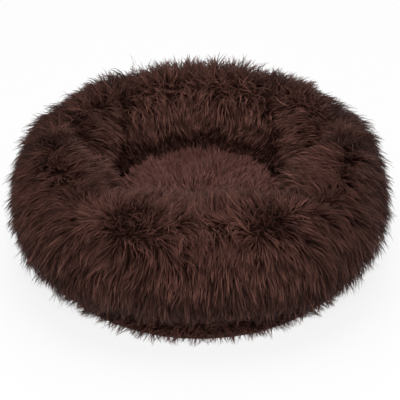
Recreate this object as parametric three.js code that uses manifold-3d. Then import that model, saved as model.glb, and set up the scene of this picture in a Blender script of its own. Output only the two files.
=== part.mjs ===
// A round pet bed: a fat roll of long-pile fur round a padded floor, on a low base with a zip.
// Millimetres, +Z up, origin on the floor under the middle of the base, front towards -Y.
// Directions round the bed are angles from the front, anticlockwise seen from above.
import * as THREE from 'three';
import { mergeVertices } from 'three/addons/utils/BufferGeometryUtils.js';
import ManifoldModule from 'manifold-3d';

const wasm = await ManifoldModule();
wasm.setup();

const degree = Math.PI / 180;
const turn = 2 * Math.PI;

// Clearance that sewn or stacked pieces keep, and the overrun of every cut
const fit = 0.3;
const overrun = 4;

// Whole bed, measured over the pile as it lies
const bedRadius = 288;
const bedHeight = 199;
const waistHeight = 103;
const overhang = 42;
const cornerSwell = 10;
const openingRadius = 142;
const frontSwell = 46;
const swellPower = 2.5;

// Roll: crown and underside of its section, pile cover, pinches and seam
const crownPower = 2.15;
const floorPower = 2.6;
const coverThickness = 20;
const hemWidth = 8;
const footTuck = 24;
const pinchCount = 8;
const pinchDepthShare = 0.68;
const pinchSpread = 7 * degree;
const pinchShares = [0, 0.65, 1, 0.9, 0.1, 0.9, 1, 0.65];
const pinchSlantShares = [0, 0.05, 0.35, 0.25, 0, -0.25, -0.35, -0.05];
const pinchRoot = 140 * degree;
const outsideFadeShares = [0.7, 1];
const insideFadeShares = [-0.45, 0.15];
const seamMiddle = 91 * degree;
const seamSwing = 28 * degree;

// Cloth of the inner bags, and the slit through which the roll is stuffed
const bagCloth = 1.2;
const slitHalfAngle = 7 * degree;

// Pad inside the roll
const padEdgeHeight = 97;
const padCrown = 9;
const padPower = 6;
const padEase = 1.4;
const padCoverThickness = 15;
const padFootAngle = -58 * degree;

// Base: bottom cloth, binding, fur wall, wadding and the cloth that closes it
const panelThickness = 1.2;
const bindingHeight = 5.8;
const bindingThickness = 3;
const baseHeight = 34;
const dividerThickness = 1;
const boxingThickness = 12;
const waddingRound = 9;

// Zip in the rear of the fur wall
const zipHalfArc = 52 * degree;
const tapeThickness = 0.6;
const lintelHeight = 5.7;
const coilHeight = 2.9;
const coilThickness = 2.4;
const coilBevelShare = 0.25;
const coilGap = 1.4;
const stopLength = 3.2;
const stopProud = 0.6;

// Slider on the zip and its pull
const sliderLength = 14;
const sliderPlate = 1.4;
const sliderFlange = 1.3;
const sliderShoulder = 0.9;
const sliderClearance = 0.35;
const postLength = 4;
const crownLength = 8.4;
const crownWidth = 2.6;
const crownWall = 1.3;
const pullLength = 27;
const pullWidth = 7.6;
const pullThickness = 1.4;
const pullBar = 1.4;
const pullArm = 1.3;
const pullPlay = 0.3;
const pullHole = 1.9;

// Steps round the bed, along the sections and along the zip
const ringSteps = pinchCount * 7;
const outerSteps = 9;
const innerSteps = 5;
const padSteps = 6;
const zipSteps = 32;
const stopSteps = 2;
const waddingSteps = 3;
const cornerSteps = 6;
const crownSteps = 3;
const barSides = 12;

// Sizes that follow from the ones above
const baseRadius = bedRadius - overhang;
const dividerTop = baseHeight + dividerThickness;
const foot = dividerTop + fit;
const bindingTop = panelThickness + fit + bindingHeight;
const wallInner = baseRadius - boxingThickness;
const wallTop = baseHeight - fit;
const notchFloor = bindingTop + fit;
const notchTop = wallTop - lintelHeight;
const zipHeight = (notchFloor + notchTop) / 2;
const chainHalf = coilGap / 2 + coilHeight;
const zipMiddle = Math.PI;
const crestRise = bedHeight - waistHeight;
const seamHalfGap = fit / 2 / (crestRise - coverThickness);

// The zip lies so far out that the pull, which hangs in the slider's crown, clears the wall
const mouthHalf = coilThickness / 2 + sliderClearance;
const plateFace = mouthHalf + sliderPlate;
const barHalf = pullBar / 2;
const crownHole = barHalf + pullPlay;
const pivotRadius = baseRadius + fit + Math.max(pullBar, pullThickness) / 2;
const zipRadius = pivotRadius - plateFace - crownHole;

const furBrown = new THREE.Color(0.075, 0.038, 0.03);
const padBrown = new THREE.Color(0.1, 0.045, 0.038);
const looks = {
  fur: { color: furBrown, roughness: 0.95, metalness: 0 },
  padFur: { color: padBrown, roughness: 0.95, metalness: 0 },
  bagCloth: { color: new THREE.Color(0.75, 0.74, 0.7), roughness: 0.9, metalness: 0 },
  fibre: { color: new THREE.Color(0.85, 0.85, 0.83), roughness: 1, metalness: 0 },
  baseCloth: { color: new THREE.Color(0.035, 0.025, 0.022), roughness: 0.85, metalness: 0 },
  tape: { color: new THREE.Color(0.03, 0.02, 0.018), roughness: 0.8, metalness: 0 },
  coil: { color: new THREE.Color(0.045, 0.028, 0.024), roughness: 0.4, metalness: 0 },
  metal: { color: new THREE.Color(0.32, 0.29, 0.27), roughness: 0.35, metalness: 0.9 },
};

const bed = new THREE.Group();

function addPiece(name, geometry, look, parent = bed) {
  const mesh = new THREE.Mesh(geometry, new THREE.MeshStandardMaterial(looks[look]));
  mesh.name = name;
  parent.add(mesh);
  return mesh;
}

// Shared vertices merged and faces without area dropped
function weld(geometry) {
  const bare = geometry.clone();
  bare.deleteAttribute('normal');
  bare.deleteAttribute('uv');
  const merged = mergeVertices(bare);
  const kept = [];
  for (let i = 0; i < merged.index.count; i += 3) {
    const [a, b, c] = [0, 1, 2].map((corner) => merged.index.getX(i + corner));
    if (a !== b && b !== c && c !== a) kept.push(a, b, c);
  }
  merged.setIndex(kept);
  return merged;
}

function toSolid(geometry) {
  const welded = weld(geometry);
  return new wasm.Manifold(new wasm.Mesh({
    numProp: 3,
    vertProperties: Float32Array.from(welded.attributes.position.array),
    triVerts: Uint32Array.from(welded.index.array),
  }));
}

function toGeometry(solid) {
  const mesh = solid.getMesh();
  const geometry = new THREE.BufferGeometry();
  geometry.setAttribute('position', new THREE.BufferAttribute(mesh.vertProperties, 3));
  geometry.setIndex(new THREE.BufferAttribute(mesh.triVerts, 1));
  return geometry;
}

// A section of [radius, height] points, listed anticlockwise, carried round the bed.
// It is a closed loop, or runs from the axis to the axis. A part turn gets end faces.
// Each quad is split along its shorter diagonal, so that facing skins split alike.
function carryRound(sectionAt, steps, start = 0, sweep = turn) {
  const whole = sweep >= turn;
  const stations = whole ? steps : steps + 1;
  const positions = [];
  let count = 0;
  for (let i = 0; i < stations; i += 1) {
    const angle = start + (sweep * i) / steps;
    const section = sectionAt(angle);
    count = section.length;
    for (const [radius, height] of section) {
      positions.push(radius * Math.sin(angle), -radius * Math.cos(angle), height);
    }
  }
  const apart = (from, to) => Math.hypot(
    ...[0, 1, 2].map((axis) => positions[3 * from + axis] - positions[3 * to + axis]));
  const faces = [];
  for (let i = 0; i < steps; i += 1) {
    const here = i * count;
    const next = ((i + 1) % stations) * count;
    for (let j = 0; j < count; j += 1) {
      const k = (j + 1) % count;
      const [a, b, c, d] = [here + j, next + j, next + k, here + k];
      if (apart(a, c) <= apart(b, d)) faces.push(a, b, c, a, c, d);
      else faces.push(a, b, d, b, c, d);
    }
  }
  if (!whole) {
    const outline = sectionAt(start).map(([radius, height]) => new THREE.Vector2(radius, height));
    const last = steps * count;
    for (const [a, b, c] of THREE.ShapeUtils.triangulateShape(outline, [])) {
      faces.push(a, b, c, last + a, last + c, last + b);
    }
  }
  const geometry = new THREE.BufferGeometry();
  geometry.setAttribute('position', new THREE.Float32BufferAttribute(positions, 3));
  geometry.setIndex(faces);
  return weld(geometry);
}

// An outline in the plane of travel (along the zip, up the bed), extruded away from the bed
function plateAlongZip(shape, depth, nearFace) {
  const geometry = new THREE.ExtrudeGeometry(shape, {
    depth, bevelEnabled: false, curveSegments: cornerSteps,
  });
  geometry.rotateX(Math.PI / 2);
  geometry.translate(0, -nearFace, 0);
  return geometry;
}

function box(length, depth, height, x, y, z) {
  return new THREE.BoxGeometry(length, depth, height).translate(x, y, z);
}

const signedPower = (value, power) => Math.sign(value) * Math.abs(value) ** power;

const spread = (from, to, steps) => (
  Array.from({ length: steps + 1 }, (_, i) => from + ((to - from) * i) / steps)
);

// The roll: outside, opening, section, seam and pinches as functions of the direction

function outsideAt(angle) {
  return bedRadius + cornerSwell * Math.sin(2 * angle) ** 2;
}

function openingAt(angle) {
  return openingRadius - frontSwell * ((1 + Math.cos(angle)) / 2) ** swellPower;
}

function seamAt(angle) {
  return seamMiddle - seamSwing * Math.cos(angle);
}

// Depth of the pinches: full over the crest and down the nest's wall, dying out soon past the crest.
// Each leans away from the front as it climbs from its root on the nest's wall.
function pinchAt(angle, section) {
  const height = Math.sin(section);
  const outside = THREE.MathUtils.smoothstep(height, ...outsideFadeShares);
  const inside = THREE.MathUtils.smoothstep(height, ...insideFadeShares);
  const fade = Math.cos(section) > 0 ? outside : inside;
  let depth = 0;
  for (let i = 0; i < pinchCount; i += 1) {
    const slant = pinchSlantShares[i % pinchSlantShares.length] * (pinchRoot - section);
    const away = angle - (turn * i) / pinchCount - slant;
    const nearest = away - turn * Math.round(away / turn);
    const strength = pinchShares[i % pinchShares.length];
    depth += strength * Math.exp(-((nearest / pinchSpread) ** 2));
  }
  return coverThickness * pinchDepthShare * depth * fade;
}

// A point of the roll's section: section angle 0 is outwards at the waist, 90 degrees is up.
// inset moves it in from the pile's surface, lift raises the underside.
function rollPoint(angle, section, inset, lift) {
  const opening = openingAt(angle);
  const middle = (outsideAt(angle) + opening) / 2;
  const halfWidth = (outsideAt(angle) - opening) / 2 - inset;
  const up = Math.sin(section) >= 0;
  const rise = up ? crestRise - inset : waistHeight - dividerTop - lift;
  const power = 2 / (up ? crownPower : floorPower);
  return [
    middle + halfWidth * signedPower(Math.cos(section), power),
    waistHeight + rise * signedPower(Math.sin(section), power),
  ];
}

// Section angle below the waist at which the roll reaches a radius, on its outer or inner side
function sectionAngleAt(angle, radius, inset) {
  const opening = openingAt(angle);
  const middle = (outsideAt(angle) + opening) / 2;
  const halfWidth = (outsideAt(angle) - opening) / 2 - inset;
  const across = Math.acos((Math.abs(radius - middle) / halfWidth) ** (floorPower / 2));
  return radius > middle ? -across : Math.PI + across;
}

// Section angles of the two pile covers at their inner faces, shared with the bag inside them
function outerInsideAngles(angle) {
  const hem = sectionAngleAt(angle, baseRadius - hemWidth, coverThickness);
  return spread(hem, seamAt(angle) - seamHalfGap, innerSteps);
}

function innerInsideAngles(angle) {
  const hem = sectionAngleAt(angle, openingAt(angle) + footTuck + hemWidth, coverThickness);
  return spread(seamAt(angle) + seamHalfGap, hem, innerSteps);
}

// From the seam at the crest, outwards and down to the base
function outerCoverSection(angle) {
  const hem = sectionAngleAt(angle, baseRadius, 0);
  const outside = spread(hem, seamAt(angle) - seamHalfGap, outerSteps)
    .map((section) => rollPoint(angle, section, pinchAt(angle, section), 0));
  const inside = outerInsideAngles(angle).reverse()
    .map((section) => rollPoint(angle, section, coverThickness, 0));
  return [[baseRadius - hemWidth, foot], [baseRadius, foot], ...outside, ...inside];
}

// From the seam at the crest, into the nest and down to the foot of the pad
function innerCoverSection(angle) {
  const footRadius = openingAt(angle) + footTuck;
  const hem = sectionAngleAt(angle, footRadius, 0);
  const outside = spread(seamAt(angle) + seamHalfGap, hem, outerSteps)
    .map((section) => rollPoint(angle, section, pinchAt(angle, section), 0));
  const inside = innerInsideAngles(angle).reverse()
    .map((section) => rollPoint(angle, section, coverThickness, 0));
  return [...outside, [footRadius, foot], [footRadius + hemWidth, foot], ...inside];
}

// The bag's section angles, from one lip of its slit round to the other
function bagAngles(angle) {
  const lip = -Math.PI / 2 + slitHalfAngle;
  return [lip, ...outerInsideAngles(angle), ...innerInsideAngles(angle), Math.PI - lip];
}

function bagSection(angle) {
  const angles = bagAngles(angle);
  const outside = angles.map((section) => rollPoint(angle, section, coverThickness + fit, fit));
  const inside = angles.map((section) => (
    rollPoint(angle, section, coverThickness + fit + bagCloth, fit + bagCloth)));
  return [...outside, ...inside.reverse()];
}

function fillSection(angle) {
  const inset = coverThickness + fit + bagCloth + fit;
  return bagAngles(angle).map((section) => rollPoint(angle, section, inset, inset - coverThickness));
}

addPiece('bolster_outer_cover', carryRound(outerCoverSection, ringSteps), 'fur');
addPiece('bolster_inner_cover', carryRound(innerCoverSection, ringSteps), 'fur');
addPiece('bolster_bag', carryRound(bagSection, ringSteps), 'bagCloth');
addPiece('bolster_fill', carryRound(fillSection, ringSteps), 'fibre');

// The pad: a crowned pillow with drawn-in sides that fills the opening

const padMiddle = (foot + padEdgeHeight) / 2;
const padHalfHeight = (padEdgeHeight - foot) / 2;

function padPoint(angle, section, inset) {
  const whole = openingAt(angle) - padEase;
  const radius = (whole - inset) * Math.abs(Math.cos(section)) ** (2 / padPower);
  const crown = (padCrown * Math.max(Math.sin(section), 0)) * (1 - (radius / whole) ** 2);
  const side = (padHalfHeight - inset) * signedPower(Math.sin(section), 2 / padPower);
  return [radius, padMiddle + side + crown];
}

function padProfile(angle, inset) {
  const points = spread(padFootAngle, Math.PI / 2, padSteps)
    .map((section) => padPoint(angle, section, inset));
  points[0][1] = foot;
  points[points.length - 1][0] = 0;
  return points;
}

function padShellSection(angle, inset, thickness) {
  return [...padProfile(angle, inset), ...padProfile(angle, inset + thickness).reverse()];
}

const padBagInset = padCoverThickness + fit;
const padFillInset = padBagInset + bagCloth + fit;
const padCoverSection = (angle) => padShellSection(angle, 0, padCoverThickness);
const padBagSection = (angle) => padShellSection(angle, padBagInset, bagCloth);
const padFillSection = (angle) => [[0, foot], ...padProfile(angle, padFillInset)];

addPiece('pad_cover', carryRound(padCoverSection, ringSteps), 'padFur');
addPiece('pad_bag', carryRound(padBagSection, ringSteps), 'bagCloth');
addPiece('pad_fill', carryRound(padFillSection, ringSteps), 'fibre');

// The base: bottom cloth, binding at its edge, fur wall with the zip's opening, wadding, divider

const rectangle = (inner, outer, low, high) => () => (
  [[inner, low], [outer, low], [outer, high], [inner, high]]);

function bindingSection() {
  const low = panelThickness + fit;
  const inner = baseRadius - bindingThickness;
  const bend = bindingThickness / 2;
  return [
    [inner, low], [baseRadius - bend, low], [baseRadius, low + bend],
    [baseRadius, bindingTop - bend], [baseRadius - bend, bindingTop], [inner, bindingTop],
  ];
}

// The wall stands behind the binding and is full above it
function boxingSection() {
  const low = panelThickness + fit;
  const back = baseRadius - bindingThickness - fit;
  return [
    [wallInner, low], [back, low], [back, notchFloor], [baseRadius, notchFloor],
    [baseRadius, wallTop], [wallInner, wallTop],
  ];
}

function waddingSection() {
  const low = panelThickness + fit;
  const edge = wallInner - fit;
  const points = [[0, low]];
  for (const section of spread(-Math.PI / 2, 0, waddingSteps)) {
    points.push([
      edge - waddingRound + waddingRound * Math.cos(section),
      low + waddingRound + waddingRound * Math.sin(section),
    ]);
  }
  for (const section of spread(0, Math.PI / 2, waddingSteps)) {
    points.push([
      edge - waddingRound + waddingRound * Math.cos(section),
      wallTop - waddingRound + waddingRound * Math.sin(section),
    ]);
  }
  return [...points, [0, wallTop]];
}

const dividerSection = rectangle(0, baseRadius, baseHeight, dividerTop);
const zipStart = zipMiddle - zipHalfArc;
const notch = carryRound(
  rectangle(wallInner - overrun, baseRadius + overrun, notchFloor, notchTop),
  zipSteps, zipStart, 2 * zipHalfArc);
const boxing = toSolid(carryRound(boxingSection, ringSteps)).subtract(toSolid(notch));

addPiece('base_panel', carryRound(rectangle(0, baseRadius, 0, panelThickness), ringSteps), 'baseCloth');
addPiece('base_binding', carryRound(bindingSection, ringSteps), 'baseCloth');
addPiece('base_boxing', toGeometry(boxing), 'fur');
addPiece('base_wadding', carryRound(waddingSection, ringSteps), 'fibre');
addPiece('divider_cloth', carryRound(dividerSection, ringSteps), 'bagCloth');

// The zip: a tape sewn to the wall above, one below, a coil on each and a stop at each end

const endGap = fit / zipRadius;
const tapeStart = zipStart + endGap;
const tapeSweep = 2 * (zipHalfArc - endGap);

function addTape(name, low, high) {
  const half = tapeThickness / 2;
  const section = rectangle(zipRadius - half, zipRadius + half, low, high);
  addPiece(name, carryRound(section, zipSteps, tapeStart, tapeSweep), 'tape');
}

function addCoil(name, low) {
  const half = coilThickness / 2;
  const bend = coilThickness * coilBevelShare;
  const high = low + coilHeight;
  const section = () => [
    [zipRadius - half + bend, low], [zipRadius + half - bend, low],
    [zipRadius + half, low + bend], [zipRadius + half, high - bend],
    [zipRadius + half - bend, high], [zipRadius - half + bend, high],
    [zipRadius - half, high - bend], [zipRadius - half, low + bend],
  ];
  const stops = (stopLength + fit) / zipRadius;
  addPiece(name, carryRound(section, zipSteps, tapeStart + stops, tapeSweep - 2 * stops), 'coil');
}

addTape('zip_upper_tape', zipHeight + chainHalf + fit, notchTop - fit);
addTape('zip_lower_tape', notchFloor + fit, zipHeight - chainHalf - fit);
addCoil('zip_upper_coil', zipHeight + coilGap / 2);
addCoil('zip_lower_coil', zipHeight - chainHalf);

const stopSweep = stopLength / zipRadius;
const stopHalf = coilThickness / 2 + stopProud;
const stopSection = rectangle(
  zipRadius - stopHalf, zipRadius + stopHalf, zipHeight - chainHalf, zipHeight + chainHalf);
const closedStart = tapeStart + tapeSweep - stopSweep;
addPiece('zip_open_stop', carryRound(stopSection, stopSteps, tapeStart, stopSweep), 'metal');
addPiece('zip_closed_stop', carryRound(stopSection, stopSteps, closedStart, stopSweep), 'metal');

// The slider: two plates joined by a post between the coils, lips that grip the coils' backs,
// and a crown for the pull. It is drawn at the front of the bed and turned to its place.

const lipInner = chainHalf + sliderClearance;
const sliderHalf = lipInner + sliderFlange;
const slotHalf = tapeThickness / 2 + sliderClearance;

function sliderOutline() {
  const nose = sliderLength / 2;
  const wide = sliderHalf + sliderShoulder;
  const shape = new THREE.Shape();
  shape.moveTo(-nose, -sliderHalf);
  shape.lineTo(nose / 2, -wide);
  shape.quadraticCurveTo(nose, -wide, nose, -sliderHalf + sliderFlange);
  shape.lineTo(nose, sliderHalf - sliderFlange);
  shape.quadraticCurveTo(nose, wide, nose / 2, wide);
  shape.lineTo(-nose, sliderHalf);
  shape.closePath();
  return shape;
}

// Crown seen from above: a low arch with a slot under it for the pull's bar
const crownHeight = 2 * crownHole + crownWall;

function crownOutline() {
  const half = crownLength / 2;
  const hole = half - crownWall;
  const shape = new THREE.Shape();
  shape.moveTo(-half, -sliderPlate / 2);
  shape.lineTo(half, -sliderPlate / 2);
  shape.lineTo(half, crownHeight - crownWall);
  shape.quadraticCurveTo(half, crownHeight, half - crownWall, crownHeight);
  shape.lineTo(-half + crownWall, crownHeight);
  shape.quadraticCurveTo(-half, crownHeight, -half, crownHeight - crownWall);
  shape.closePath();
  const slot = new THREE.Path();
  slot.moveTo(-hole, 0);
  slot.lineTo(-hole, 2 * crownHole);
  slot.lineTo(hole, 2 * crownHole);
  slot.lineTo(hole, 0);
  slot.closePath();
  shape.holes.push(slot);
  return shape;
}

function sliderSolid() {
  const body = toSolid(plateAlongZip(sliderOutline(), 2 * plateFace, -plateFace));
  const reach = sliderLength + 2 * overrun;
  const mouth = toSolid(box(reach, 2 * mouthHalf, 2 * lipInner, 0, 0, 0));
  const slots = toSolid(box(reach, 2 * slotHalf, 2 * (sliderHalf + overrun), 0, 0, 0));
  const postX = sliderLength / 2 - sliderFlange - postLength / 2;
  const post = toSolid(box(postLength, 2 * mouthHalf + sliderPlate, coilGap - 2 * fit, postX, 0, 0));
  const crownArch = new THREE.ExtrudeGeometry(crownOutline(), {
    depth: crownWidth, bevelEnabled: false, curveSegments: crownSteps,
  });
  crownArch.rotateX(Math.PI).translate(0, -plateFace, crownWidth / 2);
  return body.subtract(mouth).subtract(slots).add(post).add(toSolid(crownArch));
}

// The pull: a bar under the crown, two arms and a tongue with a round end and a hole
function pullSolid() {
  const reach = crownWidth / 2 + pullPlay;
  const wide = reach + pullArm;
  const rod = new THREE.CylinderGeometry(barHalf, barHalf, 2 * wide, barSides).rotateX(Math.PI / 2);
  const bar = toSolid(rod);
  const tongueStart = crownLength / 2 + pullPlay + barHalf;
  const end = pullLength - pullWidth / 2;
  const shape = new THREE.Shape();
  shape.moveTo(-tongueStart, -wide);
  shape.lineTo(-end, -pullWidth / 2);
  shape.absarc(-end, 0, pullWidth / 2, -Math.PI / 2, Math.PI / 2, true);
  shape.lineTo(-tongueStart, wide);
  shape.closePath();
  const hole = new THREE.Path();
  hole.absarc(-end, 0, pullHole, 0, turn, false);
  shape.holes.push(hole);
  const tongue = toSolid(plateAlongZip(shape, pullThickness, -pullThickness / 2));
  const armLength = tongueStart + pullArm;
  let solid = bar.add(tongue);
  for (const side of [-1, 1]) {
    const armHeight = side * (reach + pullArm / 2);
    const arm = box(armLength, pullThickness, pullArm, -armLength / 2, 0, armHeight);
    solid = solid.add(toSolid(arm));
  }
  return solid;
}

const stopReach = fit + stopLength + fit + sliderLength / 2;
const restAngle = zipMiddle + zipHalfArc - stopReach / zipRadius;
const slider = new THREE.Group();
slider.rotation.z = restAngle;
bed.add(slider);
const runner = addPiece('zip_slider', toGeometry(sliderSolid()), 'metal', slider);
runner.position.set(0, -zipRadius, zipHeight);
const pull = addPiece('zip_pull', toGeometry(pullSolid()), 'metal', slider);
pull.position.set(0, -pivotRadius, zipHeight);

const travel = (2 * zipHalfArc - (2 * stopReach) / zipRadius) / degree;
const restTurn = restAngle / degree;
console.log(`slider rests at ${restTurn.toFixed(3)} degrees, travels ${travel.toFixed(3)} degrees`);
console.log(`pull pivot at radius ${pivotRadius.toFixed(3)}, height ${zipHeight.toFixed(3)}`);

export default bed;
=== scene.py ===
"""Looks of a round fur bed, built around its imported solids.

Arrays hold millimetres and the scene metres. Directions round the bed are angles from the front (-Y),
anticlockwise from above. A section angle runs round the roll: 0 is outwards, 90 degrees is up.
"""

import math

import bpy
import numpy as np
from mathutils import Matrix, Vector


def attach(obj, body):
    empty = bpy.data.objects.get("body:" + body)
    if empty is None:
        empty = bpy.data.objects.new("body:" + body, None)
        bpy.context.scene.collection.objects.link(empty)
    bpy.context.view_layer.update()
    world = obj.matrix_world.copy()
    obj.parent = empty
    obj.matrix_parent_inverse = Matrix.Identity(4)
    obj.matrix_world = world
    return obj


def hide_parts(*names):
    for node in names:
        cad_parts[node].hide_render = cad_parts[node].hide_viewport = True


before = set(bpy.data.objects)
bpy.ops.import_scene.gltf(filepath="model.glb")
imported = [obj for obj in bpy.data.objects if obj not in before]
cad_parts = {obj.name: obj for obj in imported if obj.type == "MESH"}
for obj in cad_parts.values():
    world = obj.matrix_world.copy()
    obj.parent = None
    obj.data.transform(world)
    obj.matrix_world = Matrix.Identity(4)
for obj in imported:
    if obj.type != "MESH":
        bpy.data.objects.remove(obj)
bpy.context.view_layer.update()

MM = 0.001
DEG = math.pi / 180
TURN = 2 * math.pi
TINY, SMALL = 1e-9, 1e-6
SEED = 20
rng = np.random.default_rng(SEED)

# The bed's sizes, as in its solids
BED_RADIUS, CORNER_SWELL, BED_HEIGHT, WAIST = 288.0, 10.0, 199.0, 103.0
OPENING, FRONT_SWELL, SWELL_POWER = 142.0, 46.0, 2.5
CROWN_POWER, FLOOR_POWER = 2.15, 2.6
ROLL_FOOT, FOOT_TUCK = 35.3, 24.0
BASE_RADIUS, WALL_TOP = 246.0, 33.6
PINCH_SPREAD, PINCH_POWER = 8 * DEG, 1.3
PINCH_SHARES = (0, 0.65, 1, 0.9, 0.1, 0.9, 1, 0.65)
PINCH_SLANTS = (0, 0.05, 0.35, 0.25, 0, -0.25, -0.35, -0.05)
PINCH_ROOT = 140 * DEG
OUTSIDE_FADE, INSIDE_FADE = (0.58, 1), (-0.45, 0.15)
SEAM_MIDDLE, SEAM_SWING = 91 * DEG, 28 * DEG
PAD_EDGE, PAD_CROWN, PAD_POWER, PAD_EASE = 97.0, 9.0, 6, 1.4
ZIP_RADIUS, ZIP_HEIGHT = 243.05, 17.8
ZIP_HALF_ARC = 52 * DEG


# Small helpers on arrays of points

def unit(v):
    return v / np.maximum(np.linalg.norm(v, axis=-1, keepdims=True), TINY)


def smooth(low, high, x):
    """Eases from 0 at low to 1 at high."""
    t = np.clip((x - low) / (high - low), 0, 1)
    return t * t * (3 - 2 * t)


def between(low, high, angle):
    """Eases from 0 to 1 as an angle goes from low to high, which are in degrees."""
    return smooth(low * DEG, high * DEG, angle)


def fading(x, width, power=2):
    """1 where x is 0, and fading over about a width to each side."""
    return np.exp(-(x / width) ** power)


def signed_power(v, p):
    return np.sign(v) * np.abs(v) ** p


def wrapped(angle):
    return (angle + math.pi) % TURN - math.pi


def turns_round(count):
    """Angles spread evenly over one turn."""
    return np.arange(count) * TURN / count


def around(radius, angle, height):
    """Points at radius and angle round the bed."""
    radius, angle, height = np.broadcast_arrays(radius, angle, height)
    return np.stack([radius * np.sin(angle), -radius * np.cos(angle), height], -1)


def from_axis(points):
    return np.hypot(points[..., 0], points[..., 1])


def from_rear(points):
    """How far round from the rear points are."""
    return np.abs(wrapped(np.arctan2(points[..., 0], -points[..., 1]) - math.pi))


class Waves:
    """Smooth noise: a sum of sine waves with lengths near a scale in millimetres."""
    SHORTEST, LONGEST = 0.7, 1.5

    def __init__(self, scale, count=16):
        length = scale * rng.uniform(self.SHORTEST, self.LONGEST, count)
        self.ways = unit(rng.normal(size=(count, 3))) * (TURN / length)[:, None]
        self.starts = rng.uniform(0, TURN, count)
        self.size = math.sqrt(2 / count)

    def __call__(self, points):
        return np.sin(points @ self.ways.T + self.starts).sum(-1) * self.size

    def slope(self, points):
        return (np.cos(points @ self.ways.T + self.starts) @ self.ways) * self.size


# The roll's form

def outside_at(angle):
    return BED_RADIUS + CORNER_SWELL * np.sin(2 * angle) ** 2


def opening_at(angle):
    return OPENING - FRONT_SWELL * ((1 + np.cos(angle)) / 2) ** SWELL_POWER


def seam_at(angle):
    return SEAM_MIDDLE - SEAM_SWING * np.cos(angle)


def pinch_at(angle, section):
    """Strength of the pinches, 0 to 1: full over the crest and down the nest's wall."""
    height = np.sin(section)
    fade = np.where(np.cos(section) > 0, smooth(*OUTSIDE_FADE, height), smooth(*INSIDE_FADE, height))
    depth = 0
    for i, (share, slant) in enumerate(zip(PINCH_SHARES, PINCH_SLANTS)):
        away = wrapped(angle - TURN * i / len(PINCH_SHARES) - slant * (PINCH_ROOT - section))
        depth = depth + share * fading(np.abs(away), PINCH_SPREAD, PINCH_POWER)
    return depth * fade


def roll_span(angle, inset):
    """The radius of the roll's middle and half its width, inset from where the pile ends."""
    outside, opening = outside_at(angle), opening_at(angle)
    return (outside + opening) / 2, (outside - opening) / 2 - inset


def roll_section(angle, section, inset):
    """Radius and height of the roll's surface."""
    middle, half = roll_span(angle, inset)
    up = np.sin(section) >= 0
    rise = np.where(up, BED_HEIGHT - WAIST - inset, WAIST - ROLL_FOOT)
    power = 2 / np.where(up, CROWN_POWER, FLOOR_POWER)
    return (middle + half * signed_power(np.cos(section), power),
            WAIST + rise * signed_power(np.sin(section), power))


def section_at_radius(angle, radius, inset):
    """The section angle below the waist at which the roll reaches a radius."""
    middle, half = roll_span(angle, inset)
    across = np.arccos((np.abs(radius - middle) / half) ** (FLOOR_POWER / 2))
    return np.where(radius > middle, -across, math.pi + across)


class Skin:
    """A cloth surface as a table of points: rows go round the bed and close, columns go across."""

    def __init__(self, points):
        self.points = points
        self.rows, self.columns = points.shape[:2]
        forward = (np.roll(points, -1, 0) - np.roll(points, 1, 0)) / 2
        across = np.gradient(points, axis=1)
        self.round_step = np.linalg.norm(forward, axis=-1)
        self.across_step = np.linalg.norm(across, axis=-1)
        self.round_way, self.across_way = unit(forward), unit(across)
        self.normal = unit(np.cross(self.round_way, self.across_way))

    def set_fields(self, comb, **fields):
        """What the fur does over the skin: the combing round and across it, and the rest by name."""
        whole = np.ones((self.rows, self.columns))
        self.fields = {name: field * whole for name, field in fields.items()}
        self.fields["comb"] = np.stack([way * whole for way in comb], -1)

    def read(self, table, i, j):
        """A table's value at fractional places."""
        i0 = np.floor(i).astype(int)
        j0 = np.clip(np.floor(j).astype(int), 0, self.columns - 2)
        fi, fj = i - i0, np.clip(j - j0, 0, 1)
        i0 %= self.rows
        i1 = (i0 + 1) % self.rows
        if table.ndim == 3:
            fi, fj = fi[..., None], fj[..., None]
        low = table[i0, j0] * (1 - fi) + table[i1, j0] * fi
        high = table[i0, j0 + 1] * (1 - fi) + table[i1, j0 + 1] * fi
        return low * (1 - fj) + high * fj

    def scatter(self, spacing, density):
        """Places spread evenly over the skin, one to a square of the spacing, thinned by the density."""
        found = []
        span = self.across_step.sum(1).max()
        bands = max(1, int(span / spacing))
        for band in range(bands):
            j_mid = (band + 0.5) / bands * (self.columns - 1)
            column = min(int(round(j_mid)), self.columns - 1)
            longest = self.round_step[:, column].max()
            count = max(1, int(longest * self.rows / spacing))
            i = (np.arange(count) + rng.random(count)) / count * self.rows
            j = (band + rng.random(count)) / bands * (self.columns - 1)
            area = self.read(self.round_step, i, j) * self.read(self.across_step, i, j)
            full = longest * span / (self.columns - 1)
            keep = area / full * self.read(density, i, j)
            kept = rng.random(count) < keep
            found.append(np.stack([i[kept], j[kept]], -1))
        return np.concatenate(found).T


FINE_STEPS = 500


def even_sections(section_from, section_to, section_of, inset, columns, crowding=1):
    """Section angles that lie evenly along the surface, for each row. Crowding looks closer at the end."""
    rows = []
    share = np.linspace(0, 1, columns)
    for angle, low, high in zip(angles, section_from, section_to):
        fine = high - (high - low) * np.linspace(1, 0, FINE_STEPS) ** crowding
        radius, height = section_of(angle, fine, inset)
        arc = np.concatenate([[0], np.cumsum(np.hypot(np.diff(radius), np.diff(height)))])
        rows.append(np.interp(share * arc[-1], arc, fine))
    return np.array(rows)


# Making objects

def new_object(name, data):
    made = bpy.data.objects.new(name, data)
    bpy.context.scene.collection.objects.link(made)
    return made


def put_on_bed(piece):
    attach(piece, "bed")
    return piece


def smooth_piece(name, points, faces, material):
    """A piece of the bed with smooth shading, from points in millimetres."""
    mesh = bpy.data.meshes.new(name)
    mesh.from_pydata((points.reshape(-1, 3) * MM).tolist(), [], faces)
    mesh.polygons.foreach_set("use_smooth", np.ones(len(mesh.polygons), bool))
    mesh.update()
    mesh.materials.append(material)
    return put_on_bed(new_object(name, mesh))


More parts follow.
